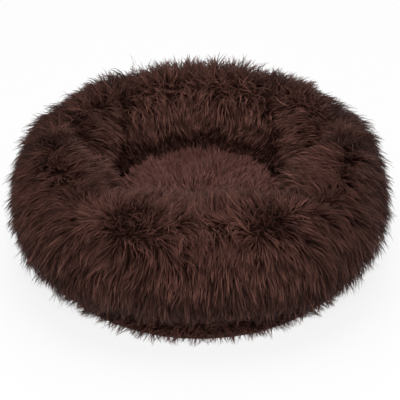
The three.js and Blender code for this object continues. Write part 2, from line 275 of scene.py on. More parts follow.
def bead_faces(rings, sides):
    """Quads between closed rings of points."""
    return [(low + a, low + (a + 1) % sides, low + sides + (a + 1) % sides, low + sides + a)
            for low in range(0, (rings - 1) * sides, sides) for a in range(sides)]


# Fur: each strand is a thin closed spike with three sides, strands go in locks and locks in tufts

STRAND_STEPS, SIDES = 4, 3
SIDE_HINT = np.array([0.31, 0.52, 0.79])
TAPER, TAPER_POWER = 0.85, 1.6
FACE_ON_MAP = 0.02
BEND_POWER = 1.5
LEAST_STEP = 0.2
STRANDS_PER_LOCK, STRAND_WIDTH, CLUMP, SMALL_TUFT = 3, 0.86, 0.94, 2.0
length_waves, stand_waves = Waves(26), Waves(20)
swirl_waves, curl_waves = Waves(48), Waves(17)
phase_waves, tone_waves = Waves(30), Waves(14)
tuft_waves, small_tuft_waves = Waves(19), Waves(8)


def strand_mesh(name, paths, widths, tones, floors, material):
    """One mesh of all strands. paths is strands x points x 3, tones the strands' place across the colour map,
    floors how far up the map their roots start, so how much of the painted root shade they skip."""
    count, points = paths.shape[:2]
    steps = points - 1
    way = unit(np.gradient(paths, axis=1))
    side = unit(np.cross(way, SIDE_HINT))
    other = np.cross(way, side)
    turns = turns_round(SIDES)[:, None]
    taper = 1 - TAPER * np.linspace(0, 1, points) ** TAPER_POWER
    radius = widths[:, None] / 2 * taper
    ring = side[:, :steps, None] * np.cos(turns) + other[:, :steps, None] * np.sin(turns)
    rings = paths[:, :steps, None] + ring * radius[:, :steps, None, None]
    verts = np.concatenate([rings.reshape(count, steps * SIDES, 3), paths[:, -1:]], 1)
    per = steps * SIDES + 1
    sides, last = range(SIDES), SIDES * (steps - 1)
    quads = bead_faces(steps, SIDES)
    quad_uv = [((s, k), (s + 1, k), (s + 1, k + 1), (s, k + 1)) for k in range(steps - 1) for s in sides]
    tris = [tuple(sides)[::-1]] + [(last + s, last + (s + 1) % SIDES, per - 1) for s in sides]
    tri_uv = [tuple((s, 0) for s in sides)]
    tri_uv += [((s, steps - 1), (s + 1, steps - 1), (s + 0.5, steps)) for s in sides]
    offsets = np.arange(count)[:, None, None] * per
    loops = np.concatenate([(offsets + np.array(faces)).reshape(-1) for faces in (quads, tris)])
    sizes = np.concatenate([np.full(count * len(quads), 4), np.full(count * len(tris), 3)])
    starts = np.concatenate([[0], np.cumsum(sizes)[:-1]])
    mesh = bpy.data.meshes.new(name)
    mesh.vertices.add(count * per)
    mesh.vertices.foreach_set("co", (verts * MM).astype(np.float32).ravel())
    mesh.loops.add(len(loops))
    mesh.loops.foreach_set("vertex_index", loops.astype(np.int32))
    mesh.polygons.add(len(sizes))
    mesh.polygons.foreach_set("loop_start", starts.astype(np.int32))
    mesh.polygons.foreach_set("use_smooth", np.ones(len(sizes), bool))
    layer = mesh.uv_layers.new(name="OFBake")
    parts = []
    for pattern in (quad_uv, tri_uv):
        flat = np.array(pattern, float).reshape(-1, 2)
        u = tones[:, None] * (1 - SIDES * FACE_ON_MAP) + flat[None, :, 0] * FACE_ON_MAP
        v = floors[:, None] + (1 - floors[:, None]) * flat[None, :, 1] / steps
        parts.append(np.stack([u, v], -1).reshape(-1))
    layer.data.foreach_set("uv", np.concatenate(parts).astype(np.float32))
    mesh.update(calc_edges=True)
    mesh.materials.append(material)
    return new_object(name, mesh)


def walk(skin, i, j, length, rise, lean, sway, follow):
    """Strand paths. rise and lean are the angles over the skin at root and tip, sway turns the combing,
    follow is how far a strand keeps to the skin's curve instead of going straight on."""
    steps = STRAND_STEPS
    count = len(i)
    share = (np.arange(steps) + 0.5) / steps
    angle = lean[:, None] + (rise - lean)[:, None] * (1 - share) ** BEND_POWER
    step = length[:, None] / steps
    out = np.concatenate([np.zeros((count, 1)), np.cumsum(np.cos(angle) * step, 1)], 1)
    up = np.concatenate([np.zeros((count, 1)), np.cumsum(np.sin(angle) * step, 1)], 1)
    root = skin.read(skin.points, i, j)
    normal = unit(skin.read(skin.normal, i, j))

    def combed(i, j):
        comb = skin.read(skin.fields["comb"], i, j)
        a, b = comb[:, 0], comb[:, 1]
        size = np.maximum(np.hypot(a, b), SMALL)
        a, b = a / size, b / size
        return a * np.cos(sway) - b * np.sin(sway), a * np.sin(sway) + b * np.cos(sway)

    a, b = combed(i, j)
    way = unit(a[:, None] * skin.read(skin.round_way, i, j) + b[:, None] * skin.read(skin.across_way, i, j))
    straight = root[:, None] + way[:, None] * out[..., None] + normal[:, None] * up[..., None]
    bent = [root]
    for k in range(steps):
        ds = out[:, k + 1] - out[:, k]
        a, b = combed(i, j)
        i = i + a * ds / np.maximum(skin.read(skin.round_step, i, j), LEAST_STEP)
        j = np.clip(j + b * ds / skin.read(skin.across_step, i, j), 0, skin.columns - 1)
        bent.append(skin.read(skin.points, i, j) + unit(skin.read(skin.normal, i, j)) * up[:, k + 1, None])
    bent = np.stack(bent, 1)
    return straight + (bent - straight) * follow[:, None, None], normal, way


def gathered(points, normal, tuft):
    """How far tips at these points are drawn together into tufts."""
    pull = -tuft * tuft_waves.slope(points) - SMALL_TUFT * small_tuft_waves.slope(points)
    return pull - (pull * normal).sum(-1, keepdims=True) * normal


# How locks differ: in length, in degrees over the skin, in sway, and in how far they follow the skin
STRAY_SHARE, STRAY_RISE, STRAY_LEAN = 0.12, 6, 18
LENGTH_WAVE, LENGTH_SPREAD = 0.10, 0.10
LIFT_RISE, LIFT_LEAN = 14, 26
STAND_WAVE, RISE_SPREAD, LEAN_SPREAD = 8, 6, 7
SWIRL, CURL, SWAY_SPREAD, WILD_SWAY = 0.22, 0.20, 0.12, 1.8
FOLLOW_SPREAD = 0.12
LIFTED_TUFTS, TUFT_POWER = 0.6, 1.5
TONE_WAVE, MIDDLE_TONE = 0.08, 0.5
# How the strands of one lock differ
ROOT_SPREAD, OWN_LENGTH, OWN_SWAY = 0.33, 0.08, 0.12
OWN_TURN = 6 * DEG
LOOSE_SHARE, LOOSE_HOLD = 0.06, 0.45
HOLD_LEAST, HOLD_SPREAD, HOLD_POWER, HOLD_MOST = 0.8, 0.3, 1.1, 0.95
WIDTH_SPREAD, TONE_SPREAD = 0.18, 0.12
# Curls: the sideways wave of a lock, a strand's own, and the wave up and down
PHASE_WAVE, PHASE_SPREAD = 2.2, 0.5
LOCK_CURL, CURL_LEAST, CURL_TURN = 0.9, 0.5, 5.0
OWN_CURL, OWN_CURL_TURN = 0.5, 9
LIFT_CURL, LIFT_TURN, LIFT_PHASE = 1.5, 4.4, 1.7


def grow(skin, spacing, length, rise, lean, follow, droop, tuft):
    """All strands of a skin: paths, widths, tones, each lock's row and column, and map floors."""
    fields = skin.fields
    i, j = skin.scatter(spacing, fields["density"])
    ruffle = skin.read(fields["ruffle"], i, j)
    locks = len(i)
    root = skin.read(skin.points, i, j)
    short, lift, wild, shade = (skin.read(fields[name], i, j) for name in ("short", "lift", "wild", "shade"))
    contrast = skin.read(fields["contrast"], i, j)

    def spread(scale):
        return rng.normal(0, scale, locks)

    stand = STAND_WAVE * stand_waves(root)
    stray = rng.random(locks) < STRAY_SHARE
    lock_length = length * short * np.exp(LENGTH_WAVE * ruffle * length_waves(root) + spread(LENGTH_SPREAD))
    lock_rise = (rise + LIFT_RISE * lift + STRAY_RISE * stray + ruffle * (stand + spread(RISE_SPREAD))) * DEG
    lock_lean = (lean + LIFT_LEAN * lift + STRAY_LEAN * stray + ruffle * (stand + spread(LEAN_SPREAD))) * DEG
    lock_sway = ruffle * (SWIRL * swirl_waves(root) + CURL * curl_waves(root) + spread(SWAY_SPREAD))
    lock_sway = lock_sway + (lift + wild) * spread(WILD_SWAY)
    lock_follow = np.clip(follow + spread(FOLLOW_SPREAD), 0, 1)
    guide, normal, _ = walk(skin, i, j, lock_length, lock_rise, lock_lean, lock_sway, lock_follow)
    share = np.linspace(0, 1, STRAND_STEPS + 1)
    drawn = gathered(root, normal, tuft) * (1 - LIFTED_TUFTS * lift[:, None])
    guide = guide + drawn[:, None] * share[:, None] ** TUFT_POWER
    which = np.repeat(np.arange(locks), STRANDS_PER_LOCK)
    count = len(which)

    def noise(scale):
        return rng.normal(0, scale, count)

    round_step = np.maximum(skin.read(skin.round_step, i, j)[which], LEAST_STEP)
    strand_i = i[which] + noise(spacing * ROOT_SPREAD) / round_step
    strand_j = j[which] + noise(spacing * ROOT_SPREAD) / skin.read(skin.across_step, i, j)[which]
    paths, normal, way = walk(
        skin, strand_i, np.clip(strand_j, 0, skin.columns - 1),
        lock_length[which] * np.exp(noise(OWN_LENGTH)),
        lock_rise[which] + noise(OWN_TURN), lock_lean[which] + noise(OWN_TURN),
        lock_sway[which] + noise(OWN_SWAY), lock_follow[which])
    loose = np.where(rng.random(count) < LOOSE_SHARE, LOOSE_HOLD, 1.0)
    hold = CLUMP * (HOLD_LEAST + HOLD_SPREAD * rng.random(locks))[which] * loose
    hold = hold[:, None] * np.sin(share * math.pi / 2) ** HOLD_POWER
    paths = paths + (guide[which] - paths) * np.clip(hold, 0, HOLD_MOST)[..., None]
    side = np.cross(normal, way)
    phase = (PHASE_WAVE * phase_waves(root) + spread(PHASE_SPREAD))[which][:, None]
    size = (LOCK_CURL * (CURL_LEAST + rng.random(locks)))[which]
    wave = size[:, None] * np.sin(share * CURL_TURN + phase) * share
    own_size = noise(OWN_CURL)[:, None]
    own = own_size * np.sin(share * OWN_CURL_TURN + (rng.random(count) * TURN)[:, None]) * share
    paths = paths + side[:, None] * (wave + own)[..., None]
    lift_size = spread(LIFT_CURL)[which][:, None]
    lift_wave = lift_size * np.sin(share * LIFT_TURN + phase * LIFT_PHASE) * share
    paths = paths + normal[:, None] * lift_wave[..., None]
    paths[..., 2] -= (droop * lock_length[which])[:, None] * share ** 2
    widths = STRAND_WIDTH * np.exp(noise(WIDTH_SPREAD))
    # A lock's tone: the skin's painted light and shade, then random tone variation.
    lock_tone = (shade + TONE_WAVE * tone_waves(root) + contrast * spread(1))[which]
    tones = np.clip(MIDDLE_TONE + lock_tone + noise(TONE_SPREAD), 0, 1)
    floors = skin.read(fields["pale"], i, j)[which]
    return paths, widths, tones, i[which], j[which], floors


def cut_to(room_of, strands, least_kept=0.25):
    """Cuts strands where room_of(points) first goes below zero, and drops those that keep too little."""
    paths, *others = strands
    steps = paths.shape[1] - 1
    row = np.arange(len(paths))
    room = room_of(paths)
    under = room < 0
    first = np.maximum(np.where(under.any(1), under.argmax(1), steps + 1), 1)
    end = np.minimum(first, steps)
    before, after = room[row, end - 1], room[row, end]
    part = np.clip(before / np.maximum(before - after, SMALL), 0, 1)
    keep = np.where(first <= steps, (end - 1 + part) / steps, 1)
    at = keep[:, None] * np.arange(steps + 1)
    low = np.minimum(at.astype(int), steps - 1)
    part, row = (at - low)[..., None], row[:, None]
    paths = paths[row, low] * (1 - part) + paths[row, low + 1] * part
    good = keep > least_kept
    return tuple(values[good] for values in (paths, *others))


def fur_pieces(name, strands, skin, sectors, material, mine=True):
    """The strands picked by mine, in one piece for each sector of the bed."""
    paths, widths, tones, i, _, floors = strands
    sector = (i / skin.rows * sectors).astype(int) % sectors
    for s in range(sectors):
        here = mine & (sector == s)
        piece = strand_mesh(f"{name}_{s:02d}", paths[here], widths[here], tones[here], floors[here], material)
        put_on_bed(piece)


# Materials

def set_inputs(tree, node, inputs):
    """Links a node's input where a socket is given, and otherwise sets its value."""
    for key, value in inputs.items():
        if isinstance(value, bpy.types.NodeSocket):
            tree.links.new(value, node.inputs[key])
        else:
            node.inputs[key].default_value = value


def add_node(tree, kind, inputs, **settings):
    made = tree.nodes.new("ShaderNode" + kind)
    for key, value in settings.items():
        setattr(made, key, value)
    set_inputs(tree, made, inputs)
    return made


def new_material(name):
    mat = bpy.data.materials.new(name)
    mat.use_nodes = True
    shader = next(n for n in mat.node_tree.nodes if n.type == "BSDF_PRINCIPLED")
    return mat, mat.node_tree, shader


def ramp_colour(tree, factor, stops):
    """The colour for a factor, from stops that each have a place and a colour."""
    ramp = add_node(tree, "ValToRGB", {"Fac": factor})
    elements = ramp.color_ramp.elements
    for element, (position, colour) in zip(elements, (stops[0], stops[-1])):
        element.position = position
        element.color = (*colour, 1)
    for position, colour in stops[1:-1]:
        elements.new(position).color = (*colour, 1)
    return ramp.outputs["Color"]


def tinted(colour, share):
    return [c * share for c in colour]


def noise_node(tree, scale, **more):
    coords = add_node(tree, "TexCoord", {}).outputs["Object"]
    return add_node(tree, "TexNoise", {"Scale": scale, "Vector": coords, **more}).outputs["Fac"]


# Towards the roots the strands are painted darker: painted shade deep in the pile.
ROOT_SHADE, LOW_SHADE, BRIGHT = (0.08, 0.06, 0.06), (0.34, 0.31, 0.31), (1, 1, 1)


def fur_material(name, dark, middle, light):
    """Colour across the strands' tones, and darker towards the roots, which is painted shade deep in the
    pile.
    """
    mat, tree, shader = new_material(name)
    uv = add_node(tree, "UVMap", {}, uv_map="OFBake")
    split = add_node(tree, "SeparateXYZ", {0: uv.outputs["UV"]})
    tone = ramp_colour(tree, split.outputs["X"], ((0, dark), (0.5, middle), (1, light)))
    depth = ramp_colour(tree, split.outputs["Y"], ((0, ROOT_SHADE), (0.45, LOW_SHADE), (0.85, BRIGHT)))
    mix = add_node(tree, "Mix", {"Factor": 1, "A": tone, "B": depth}, data_type="RGBA", blend_type="MULTIPLY")
    set_inputs(tree, shader, {
        "Base Color": mix.outputs["Result"], "Roughness": 0.55, "Specular IOR Level": 0.2,
        "Specular Tint": (1, 0.72, 0.62, 1)})
    return mat


def cloth_material(name, colour, scale=900.0, strength=0.3, specular=0.3):
    """Felt, fibre or plain cloth with an uneven grain."""
    mat, tree, shader = new_material(name)
    grain = noise_node(tree, scale)
    bump = add_node(tree, "Bump", {"Strength": strength, "Distance": 0.5 * MM, "Height": grain})
    set_inputs(tree, shader, {
        "Base Color": ramp_colour(tree, grain, ((0, tinted(colour, 0.6)), (1, tinted(colour, 1.3)))),
        "Normal": bump.outputs["Normal"], "Roughness": 0.9, "Specular IOR Level": specular})
    return mat


roll_fur = fur_material(
    "roll_fur_strands", (0.03, 0.0115, 0.009), (0.115, 0.0455, 0.035), (0.295, 0.131, 0.101))
pad_fur = fur_material(
    "pad_fur_strands", (0.075, 0.027, 0.022), (0.178, 0.071, 0.059), (0.32, 0.146, 0.122))
backing = cloth_material("fur_backing", (0.02, 0.008, 0.006), specular=0.0)
lining_cloth = cloth_material("lining_cloth", (0.72, 0.71, 0.67), scale=1500.0)
fibre = cloth_material("stuffing_fibre", (0.82, 0.82, 0.8), scale=160.0, strength=0.8)


def woven_material(name, colour, pitch, radius, rib=0.35, sheen=0.2):
    """Yarns that cross, drawn along the bed's rim and up it, with a rib. The pitch is in millimetres."""
    mat, tree, shader = new_material(name)

    def maths(operation, *inputs):
        return add_node(tree, "Math", dict(enumerate(inputs)), operation=operation).outputs[0]

    coords = add_node(tree, "TexCoord", {})
    split = add_node(tree, "SeparateXYZ", {0: coords.outputs["Object"]}).outputs
    along = maths("MULTIPLY", maths("ARCTAN2", split["X"], split["Y"]), radius * TURN / pitch)
    up = maths("MULTIPLY", split["Z"], TURN / (pitch * MM))
    twill = maths("SINE", maths("ADD", along, up))
    both = maths("MULTIPLY_ADD", maths("SINE", along), rib, twill)
    level = add_node(tree, "MapRange", {"Value": both, "From Min": -1 - rib, "From Max": 1 + rib})
    height = level.outputs["Result"]
    bump = add_node(tree, "Bump", {"Strength": 0.6, "Distance": 0.2 * MM, "Height": height})
    # The colour follows the weave's height: painted shade in its hollows and painted highlight on the yarns'
    # tops.
    stops = ((0, tinted(colour, 0.45)), (0.6, colour), (1, tinted(colour, 1.7)))
    set_inputs(tree, shader, {
        "Base Color": ramp_colour(tree, height, stops), "Normal": bump.outputs["Normal"],
        "Roughness": 0.8, "Specular IOR Level": 0.25,
        "Sheen Weight": sheen, "Sheen Tint": (0.5, 0.34, 0.28, 1)})
    return mat


def worn_material(name, colour, metallic, roughness, spread, scale):
    """Metal, nylon or rubber whose gloss varies a little."""
    mat, tree, shader = new_material(name)
    low, high = 0.3, 0.7
    wear = noise_node(tree, scale, Detail=4)
    gloss = add_node(tree, "MapRange", {
        "Value": wear, "From Min": low, "From Max": high,
        "To Min": roughness - spread, "To Max": roughness + spread})
    set_inputs(tree, shader, {
        "Base Color": ramp_colour(tree, wear, ((low, tinted(colour, 0.75)), (high, tinted(colour, 1.15)))),
        "Roughness": gloss.outputs["Result"], "Metallic": metallic})
    return mat


zip_weave = woven_material("zip_tape_weave", (0.03, 0.018, 0.015), pitch=1.2, radius=ZIP_RADIUS)
binding_tape = woven_material("binding_weave", (0.035, 0.024, 0.02), pitch=1.6, radius=BASE_RADIUS)
bottom_cloth = cloth_material("bottom_felt", (0.035, 0.025, 0.022), scale=700.0, strength=0.6)
thread = worn_material("thread", (0.05, 0.032, 0.027), 0.0, 0.6, 0.1, 900.0)
dot_rubber = worn_material("grip_rubber", (0.06, 0.045, 0.04), 0.0, 0.5, 0.1, 250.0)
coil_nylon = worn_material("coil_nylon", (0.045, 0.028, 0.024), 0.0, 0.38, 0.08, 400.0)
zip_metal = worn_material("slider_metal", (0.32, 0.29, 0.27), 1.0, 0.36, 0.1, 350.0)


def bed_piece(name, points, material, slot, *replaced, closed_round=True):
    """A closed solid of the bed, which stands for the named nodes: a table of closed sections, carried
    round the bed or capped at its two ends."""
    rows, columns = points.shape[:2]
    i = np.arange(rows if closed_round else rows - 1)[:, None]
    j = np.arange(columns)[None]
    i1, j1 = (i + 1) % rows, (j + 1) % columns
    faces = np.stack([i * columns + j, i1 * columns + j, i1 * columns + j1, i * columns + j1], -1)
    faces = faces.reshape(-1, 4).tolist()
    if not closed_round:
        faces.append(list(range(columns)))
        faces.append(list(range((rows - 1) * columns, rows * columns))[::-1])
    piece = smooth_piece(name, points, faces, material)
    if replaced:
        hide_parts(*replaced)
    return piece


# The roll: two covers of long pile that meet at the crest, the bag in them and its fibre

ROWS, COLUMNS = 480, 150
PILE = 17.0
PINCH_DEPTH, WALL_PINCH, WALL_PINCH_SPAN = 17.0, 26.0, (85, 125)
DEEPEST_PINCH = 1.1
CLOTH = 1.2
LINING_FACE, LINING_BACK, FILL_FACE = CLOTH + 0.6, 2 * CLOTH + 0.6, 2 * CLOTH + 1.6
INNER_FOOT_REACH = 60
angles = turns_round(ROWS)
row_angles = angles[:, None]


def roll_table(section_table, inset):
    """Points of the roll's cloth, drawn in at the pinches."""
    pinch = np.clip(pinch_at(row_angles, section_table), 0, DEEPEST_PINCH)
    depth = PINCH_DEPTH + WALL_PINCH * between(*WALL_PINCH_SPAN, section_table)
    radius, height = roll_section(row_angles, section_table, PILE + depth * pinch + inset)
    return around(radius, row_angles, height)


def shell(outside, inside):
    """Closed sections from a table of points and one within it."""
    return np.concatenate([outside, inside[:, ::-1]], 1)


outer_hem = section_at_radius(angles, BASE_RADIUS, PILE)
inner_hem = section_at_radius(angles, opening_at(angles) + FOOT_TUCK, PILE)
inner_foot = section_at_radius(angles, opening_at(angles) + INNER_FOOT_REACH, PILE)
sections = even_sections(outer_hem, inner_hem, roll_section, PILE, COLUMNS)
roll = Skin(roll_table(sections, 0))

# The parting: its section angle at some angles off the front's middle, and how it wanders
PART_TURNS, PART_SECTIONS = (0, 25, 83, 120, 180), (70, 72, 79, 96, 117)
PART_WAVES, PART_WANDER = 12, 6
off_middle = np.abs(wrapped(row_angles))
part_at = np.interp(off_middle[:, 0] / DEG, PART_TURNS, PART_SECTIONS) * DEG
part_columns = np.abs(sections - part_at[:, None]).argmin(1)
slow = np.abs(np.fft.fftfreq(ROWS, 1 / ROWS)) < PART_WAVES
part_smooth = np.real(np.fft.ifft(np.fft.fft(part_columns) * slow))
part_waves = Waves(48)
past_part = (np.arange(COLUMNS)[None] - part_smooth[:, None]) * roll.across_step
past_part = past_part + PART_WANDER * part_waves(roll.points)

# Combing: out of a whorl on each lobe, round the crest to the pinches, and away from the parting.
# Each tuple has one value for each of the four whorls on a side, front to rear.
WHORLS = (25.5, 89, 127, 165)
WHORL_SIZES = (33, 31, 20, 20)
# WHORL_SHADES: how much painted shade darkens each whorl's patch
WHORL_SHADES = (0.26, 0.5, 0.4, 0.4)
WHORL_LIFTS = (1, 1, 0.35, 0.2)
WHORL_COMBS = (1.4, 1.2, 0.4, 0.3)
WHORL_ROUND, WHORL_ACROSS = (1, 1.5, 1, 1), (1.3, 0.75, 1.3, 1.3)
WHORL_EDGE, RING_REACH, RING_POWER = (0.5, 1.2), 1.6, 4
WHORL_WANDER = 4 * DEG
PARTING_REACH, REACH_OUT, REACH_IN = 15.0, 33.0, 30.0
whorl_turns = np.array([-w for w in WHORLS[::-1]] + list(WHORLS)) * DEG
nearest = np.abs(wrapped(angles[:, None] - whorl_turns[None])).argmin(1)
from_whorl = wrapped(angles - whorl_turns[nearest])
gaps = np.diff(np.concatenate([whorl_turns, [whorl_turns[0] + TURN]]))
half_gap = np.where(from_whorl > 0, gaps[nearest], gaps[nearest - 1]) / 2
line_waves = Waves(70)
whorl_swing = (from_whorl[:, None] + WHORL_WANDER * line_waves(roll.points)) / half_gap[:, None]
whorl_swing = np.sin(math.pi * np.clip(whorl_swing, -1, 1))


def of_nearest(values):
    """What the nearest whorl has of values given for the four on one side, one for each row."""
    return np.array(values[::-1] + values)[nearest][:, None]


round_reach = np.where(past_part < 0, REACH_OUT, REACH_IN)
round_comb = whorl_swing * of_nearest(WHORL_COMBS) * fading(past_part, round_reach)
whorl_away = from_whorl[:, None] * from_axis(roll.points)
from_middle = np.hypot(
    of_nearest(WHORL_ROUND) * whorl_away, of_nearest(WHORL_ACROSS) * past_part) / of_nearest(WHORL_SIZES)
lift = of_nearest(WHORL_LIFTS) * (1 - smooth(*WHORL_EDGE, from_middle))

# Places on the roll, as shares from 0 to 1. Spans are in degrees of the section angle or off the front's
# middle, reaches from the parting and up the roll in millimetres.
CORNER = 111 * DEG
under_waves = Waves(75)
tucked = 1 - between(-12, 10, sections)
under = between(17, 2, sections + 6 * DEG * under_waves(roll.points))
low_outside = between(50, 15, sections)
in_wall = between(100, 115, sections)
lower_inner_wall = between(118, 135, sections)
nest_foot = between(156, 177, sections)
hidden = between(150, 215, sections) * smooth(95, 70, roll.points[..., 2])
rear = between(80, 130, off_middle)
crest = between(30, 60, sections) * between(125, 100, sections) * (1 - rear)
low_corner = low_outside * np.sin(2 * off_middle) ** 2 * (1 - rear)
side_on = np.sin(off_middle) ** 2 * between(100, 70, sections)
nest_corner = fading(off_middle - CORNER, 11 * DEG) * between(150, 172, sections)
shoulder = between(20, 50, sections) * smooth(30, 0, past_part)
rear_lobe, low_lobe = between(138, 150, off_middle), fading(off_middle - 129 * DEG, 9 * DEG)
at_part = fading(past_part, 9)
front_part = (1 - rear) * fading(past_part, 14) * (1 - lift)
rear_part, wild_part = rear * fading(past_part, 24), rear * fading(past_part, 18)
whorl_ring = of_nearest(WHORL_LIFTS) * fading(from_middle, RING_REACH, RING_POWER)
crease = np.clip(pinch_at(row_angles, sections), 0, 1) ** 1.5
# Painted shade in the fur's tone: in the creases, below the waist, at the nest's foot and corners, on the
# sides, at the rear and in the whorls' patches; painted light on the rear's inner wall, most lower down. Less
# painted root shade at the crest and by the parting.
roll.set_fields(
    comb=(round_comb, np.tanh(past_part / PARTING_REACH)), lift=lift,
    wild=0.12 * tucked + 0.25 * at_part + 0.5 * wild_part,
    ruffle=1.1 - 0.4 * low_outside + 0.5 * tucked + 0.4 * in_wall,
    contrast=0.11 + 0.22 * low_outside + 0.16 * in_wall,
    shade=(0.14 + 0.24 * lower_inner_wall) * rear * in_wall - 0.08 * rear - 0.21 * side_on
    - of_nearest(WHORL_SHADES) * lift - 0.55 * crease - 0.3 * under - 0.36 * nest_foot - 0.5 * nest_corner,
    short=(1 + shoulder * (0.22 * rear_lobe - 0.18 * low_lobe)) * (1 + 0.12 * side_on)
    * (1 + 0.18 * low_corner) * (1 - 0.22 * whorl_ring) * (1 - (0.2 + 0.4 * in_wall) * crease)
    * (1 - 0.05 * under) * (1 - 0.1 * tucked) * (1 - 0.3 * lift) * (1 - 0.5 * nest_foot),
    pale=0.3 * crest + 0.5 * rear_part + 0.35 * front_part,
    density=(0.85 + 0.15 * lift) * (1 - 0.8 * hidden) * (1 - 0.7 * crease ** 2) * (1 - 0.85 * nest_corner))
roll_strands = grow(roll, spacing=3.2, length=32, rise=62, lean=22, follow=0.72, droop=0.04, tuft=4)

# Where the roll's pile ends: over the floor, under the crest's height, and clear of the zip behind the bed
FRINGE_FOOT, FRINGE_LEAST, CORNER_DROP = 53, 30, 14
FRINGE_WAVE, FRINGE_SPREAD, FRINGE_RADIUS, INNER_FRINGE = 15, 6, 262, 38.0
ZIP_SIDE, ZIP_REACH, ZIP_LINTEL = 60 * DEG, 280, 28.0
CREST_TOP, CREST_WAVE = 211.5, 1.2
edge_waves = Waves(22)


def pile_room(points):
    """Room over the floor and under the crest, and behind the bed over the slider and pull."""
    away = from_rear(points)
    radius = from_axis(points)
    uneven = FRINGE_WAVE * edge_waves(points) + rng.normal(0, FRINGE_SPREAD, len(points))[:, None]
    corner_drop = CORNER_DROP * np.sin(2 * away) ** 2 * (away > TURN / 4)
    foot = np.maximum(FRINGE_FOOT - corner_drop + uneven, FRINGE_LEAST)
    fringe = np.where(radius > FRINGE_RADIUS, foot, INNER_FRINGE)
    floor = np.where((away < ZIP_SIDE) & (radius < ZIP_REACH), np.maximum(fringe, ZIP_LINTEL), fringe)
    crest = CREST_TOP + CREST_WAVE * edge_waves(points)
    return np.minimum(points[..., 2] - floor, crest - points[..., 2])


roll_strands = cut_to(pile_room, roll_strands)
root_column, part_column = roll_strands[4], part_smooth[roll_strands[3].astype(int) % ROWS]
fur_pieces("outer_pile", roll_strands, roll, 12, roll_fur, mine=root_column < part_column)
fur_pieces("inner_pile", roll_strands, roll, 8, roll_fur, mine=root_column >= part_column)


def cover_points(from_section, to_section, columns=70):
    """A cover's cloth between two section angles: its pile side, then its back."""
    table = np.linspace(from_section, to_section, columns).T
    return shell(roll_table(table, 0), roll_table(table, CLOTH))


SEAM_SLIT = 0.0006
for name, cloth, node in (
        ("outer_plush", cover_points(outer_hem, seam_at(angles) - SEAM_SLIT), "bolster_outer_cover"),
        ("inner_plush", cover_points(seam_at(angles) + SEAM_SLIT, inner_foot), "bolster_inner_cover")):
    bed_piece(name, cloth, backing, "roll_fur", node)


def round_points(inset, columns=96, gap=7 * DEG):
    """The roll's whole section at an inset, open below where it is stuffed."""
    points = roll_table(np.linspace(-math.pi / 2 + gap, 1.5 * math.pi - gap, columns), inset)
    points[..., 2] = np.maximum(points[..., 2], ROLL_FOOT + inset)
    return points


bed_piece("roll_lining", shell(round_points(LINING_FACE), round_points(LINING_BACK)), lining_cloth,
          "inner_cloth", "bolster_bag")
bed_piece("roll_stuffing", round_points(FILL_FACE, gap=0), fibre, "fibre", "bolster_fill")

# The pad

PAD_PILE = 14.0
PAD_TOP, PAD_BOTTOM = 90 * DEG - 1e-8, 62 * DEG
PAD_ROOTS_FROM, PAD_COLUMNS, PAD_CROWDING = -20 * DEG, 80, 3
PAD_MIDDLE, PAD_HALF = (ROLL_FOOT + PAD_EDGE) / 2, (PAD_EDGE - ROLL_FOOT) / 2


def pad_section(angle, section, inset):
    whole = opening_at(angle) - PAD_EASE
    radius = (whole - inset) * np.abs(np.cos(section)) ** (2 / PAD_POWER)
    crown = PAD_CROWN * np.maximum(np.sin(section), 0) * (1 - (radius / whole) ** 2)
    return radius, PAD_MIDDLE + (PAD_HALF - inset) * signed_power(np.sin(section), 2 / PAD_POWER) + crown


pad_sections = even_sections(
    np.full(ROWS, PAD_ROOTS_FROM), np.full(ROWS, PAD_TOP), pad_section, PAD_PILE, PAD_COLUMNS, PAD_CROWDING)
radius, height = pad_section(row_angles, pad_sections, PAD_PILE)
pad = Skin(around(radius, row_angles, height))

# Its whorl lies towards the front, inside the opening. Its pile is short at the nest's corners and darkened
# there and along its edge by painted shade
PAD_WHORL, PAD_WHORL_SIZE = 72.0, 25
sine, cosine = np.sin(row_angles), np.cos(row_angles)
out_x, out_y = radius * sine, PAD_WHORL - radius * cosine
whorl_near = np.exp(-(out_x ** 2 + out_y ** 2) / PAD_WHORL_SIZE ** 2)
across_nest = radius / opening_at(row_angles)
edge = smooth(0.86, 1, across_nest)
pad_corner = smooth(0.8, 0.95, across_nest) * fading(off_middle - CORNER, 12 * DEG)
pad.set_fields(
    comb=(out_x * cosine + out_y * sine, out_y * cosine - out_x * sine), lift=whorl_near + 0.5 * edge,
    short=(1 - 0.35 * edge) * (1 - 0.5 * pad_corner), ruffle=0.9, wild=0.1, contrast=0.12, pale=0.2,
    shade=-0.15 * edge - 0.6 * pad_corner, density=smooth(40, 70, height) * (1 - 0.85 * pad_corner))
pad_strands = grow(pad, spacing=3.3, length=25, rise=62, lean=20, follow=-0.3, droop=0.02, tuft=3.5)
fur_pieces("pad_pile", pad_strands, pad, 4, pad_fur)


def pad_points(inset, columns=60):
    table = PAD_TOP - (PAD_TOP + PAD_BOTTOM) * np.linspace(1, 0, columns) ** PAD_CROWDING
    radius, height = pad_section(row_angles, table, PAD_PILE + inset)
    return around(radius, row_angles, np.maximum(height, ROLL_FOOT + 0.2))


pad_plush = bed_piece("pad_plush", shell(pad_points(0), pad_points(CLOTH)), backing, "pad_fur", "pad_cover")
bed_piece("pad_lining", shell(pad_points(LINING_FACE), pad_points(LINING_BACK)), lining_cloth,
          "inner_cloth", "pad_bag")
bed_piece("pad_stuffing", pad_points(FILL_FACE), fibre, "fibre", "pad_fill")

# The base: its fur wall with the zip's opening, and what it holds

